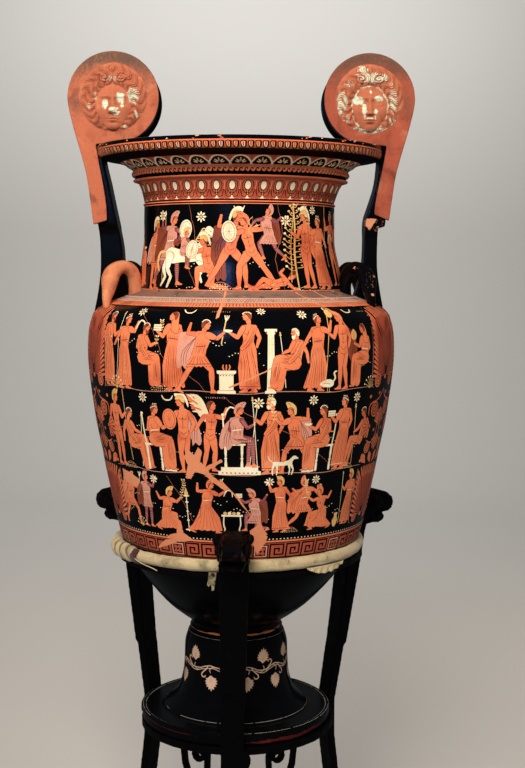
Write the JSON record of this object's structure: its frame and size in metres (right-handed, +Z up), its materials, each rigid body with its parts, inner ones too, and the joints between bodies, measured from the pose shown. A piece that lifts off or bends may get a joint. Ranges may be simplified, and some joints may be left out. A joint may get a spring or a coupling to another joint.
{
  "type": "volute krater in an iron tripod stand",
  "caption": "Tall painted clay mixing vessel with volute handles, mask roundels and swan-neck handles, held in a forged iron tripod with a padded ring.",
  "frame": {"origin": "on the floor, under the middle of the object's bounding box", "axes": "+Z up along the vessel's axis, +X to the right and -Y to the front as the picture sees it"},
  "size_m": [0.6624, 0.6716, 1.7513],
  "materials": {
    "painted_clay": "fired clay with glossy black slip, cream and dark red paint, worn and patched",
    "painted_clay_foot": "glossy black slip on fired clay, worn at the edges",
    "black_iron": "blackened, hammered and waxed",
    "wrapped_cloth": "cream cotton bandage, stained",
    "red_brown_strap": "woven tape, matt"
  },
  "bodies": {
    "root": {"krater_vessel": "painted_clay", "krater_foot": "painted_clay_foot", "stand_leg_front": "black_iron", "stand_leg_left": "black_iron", "stand_leg_right": "black_iron", "stand_upper_ring": "black_iron", "stand_lower_ring": "black_iron", "stand_scroll_front": "black_iron", "stand_scroll_left": "black_iron", "stand_scroll_right": "black_iron", "padded_ring": "wrapped_cloth", "pad_strap": "red_brown_strap"}
  },
  "joints": []
}
